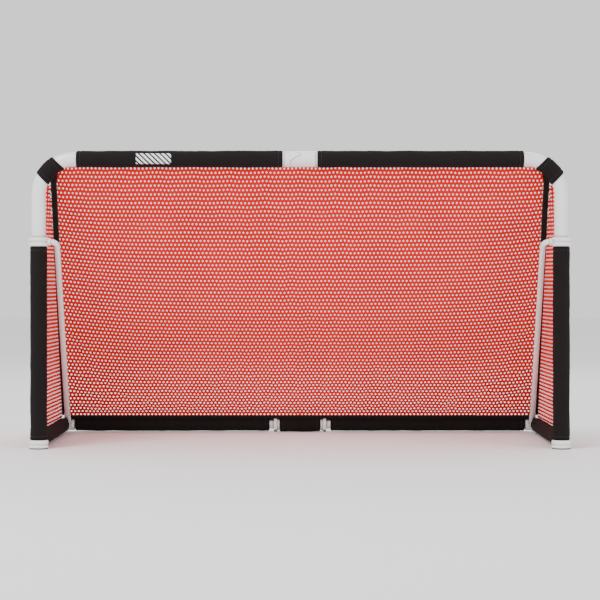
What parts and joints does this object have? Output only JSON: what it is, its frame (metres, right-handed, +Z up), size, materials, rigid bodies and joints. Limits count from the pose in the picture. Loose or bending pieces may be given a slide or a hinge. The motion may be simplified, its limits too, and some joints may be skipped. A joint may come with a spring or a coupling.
{
  "type": "folding goal net",
  "caption": "Folding sports goal: tubular frame with padded sleeves, slanting side struts, and a mesh net from crossbar to rear ground bar; the halves fold together.",
  "frame": {"origin": "on the ground, under the middle of the whole goal", "axes": "+X to the right for a player facing the mouth, +Y from the mouth to the back of the goal, +Z up"},
  "size_m": [1.22, 0.542, 0.6715],
  "materials": {
    "white_steel": "white powder coat, semi-gloss",
    "white_casting": "white enamel on a casting, semi-gloss",
    "white_plastic": "moulded, fine grain",
    "black_sleeve": "warm black woven nylon over foam",
    "black_webbing": "ribbed webbing",
    "red_net": "knitted polyester mesh with round holes",
    "label_cloth": "printed patch with plain diagonal bars",
    "pin_steel": "zinc plated"
  },
  "bodies": {
    "right_half": {"crossbar_hinge_pin": "pin_steel", "rear_hinge_pin": "pin_steel", "right_back_net": "red_net", "right_base_sleeve": "black_sleeve", "right_base_tube": "white_steel", "right_centre_cover": "black_sleeve", "right_corner_wrap": "black_sleeve", "right_crossbar_hinge": "white_casting", "right_crossbar_sleeve": "black_sleeve", "right_foot_collar": "white_plastic", "right_front_tube": "white_steel", "right_post_collar": "white_plastic", "right_post_sleeve": "black_sleeve", "right_rear_corner": "white_plastic", "right_rear_flange": "white_plastic", "right_rear_hinge": "white_plastic", "right_rear_sleeve": "black_sleeve", "right_rear_tube": "white_steel", "right_side_net": "red_net", "right_strap": "black_webbing", "right_strut": "white_steel"},
    "left_half": {"left_back_net": "red_net", "left_base_sleeve": "black_sleeve", "left_base_tube": "white_steel", "left_centre_cover": "black_sleeve", "left_corner_wrap": "black_sleeve", "left_crossbar_hinge": "white_casting", "left_crossbar_sleeve": "black_sleeve", "left_foot_collar": "white_plastic", "left_front_tube": "white_steel", "left_post_collar": "white_plastic", "left_post_sleeve": "black_sleeve", "left_rear_corner": "white_plastic", "left_rear_flange": "white_plastic", "left_rear_hinge": "white_plastic", "left_rear_sleeve": "black_sleeve", "left_rear_tube": "white_steel", "left_side_net": "red_net", "left_strap": "black_webbing", "left_strut": "white_steel", "sleeve_label": "label_cloth"}
  },
  "joints": [
    {"name": "centre_fold", "type": "hinge", "parent": "right_half", "child": "left_half", "pos_m": [0, -0.2352, 0.66292], "axis": [0, 0.6204, -0.7842], "range_deg": [0, 170]}
  ]
}
